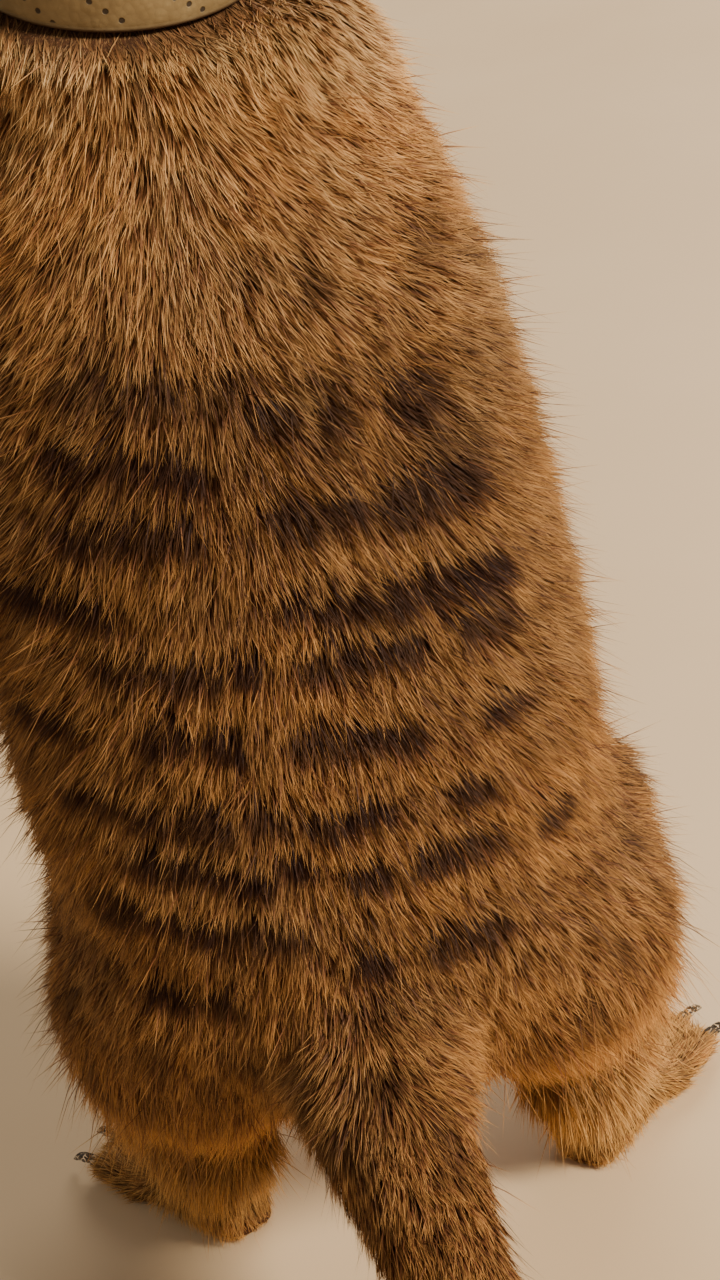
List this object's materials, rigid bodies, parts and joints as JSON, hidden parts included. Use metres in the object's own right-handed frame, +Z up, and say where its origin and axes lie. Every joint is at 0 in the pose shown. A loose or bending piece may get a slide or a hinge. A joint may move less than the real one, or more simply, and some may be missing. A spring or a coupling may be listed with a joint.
{
  "type": "meerkat figure",
  "caption": "Life-size meerkat sitting up on its haunches, arms hanging at the belly, tail laid behind as a prop, banded back, and a plain leather collar with a frame buckle",
  "frame": {"origin": "on the floor, under the middle of the model's bounding box", "axes": "+Z up; the animal faces -Y; its left side is +X"},
  "size_m": [0.1382, 0.3014, 0.3075],
  "materials": {
    "coat": "short dense fur, matte",
    "face": "fine short fur, matte",
    "ears": "dark skin with short hair, matte",
    "nose": "fine pebbled skin, moist",
    "eyes": "wet, glossy",
    "claws": "horn, satin",
    "collar": "soft grain, satin",
    "buckle": "brushed, satin"
  },
  "bodies": {
    "root": {"abdomen": "coat", "buckle": "buckle", "chest": "coat", "claw_fore_left_1": "claws", "claw_fore_left_2": "claws", "claw_fore_left_3": "claws", "claw_fore_left_4": "claws", "claw_fore_right_1": "claws", "claw_fore_right_2": "claws", "claw_fore_right_3": "claws", "claw_fore_right_4": "claws", "claw_hind_left_1": "claws", "claw_hind_left_2": "claws", "claw_hind_left_3": "claws", "claw_hind_left_4": "claws", "claw_hind_right_1": "claws", "claw_hind_right_2": "claws", "claw_hind_right_3": "claws", "claw_hind_right_4": "claws", "collar": "collar", "ear_left": "ears", "ear_right": "ears", "eye_left": "eyes", "eye_right": "eyes", "foot_left": "coat", "foot_right": "coat", "forearm_left": "coat", "forearm_right": "coat", "hand_left": "coat", "hand_right": "coat", "head": "face", "neck": "coat", "nose": "nose", "shank_left": "coat", "shank_right": "coat", "tail_base": "coat", "tail_middle": "coat", "tail_tip": "coat", "thigh_left": "coat", "thigh_right": "coat", "upper_arm_left": "coat", "upper_arm_right": "coat"}
  },
  "joints": []
}
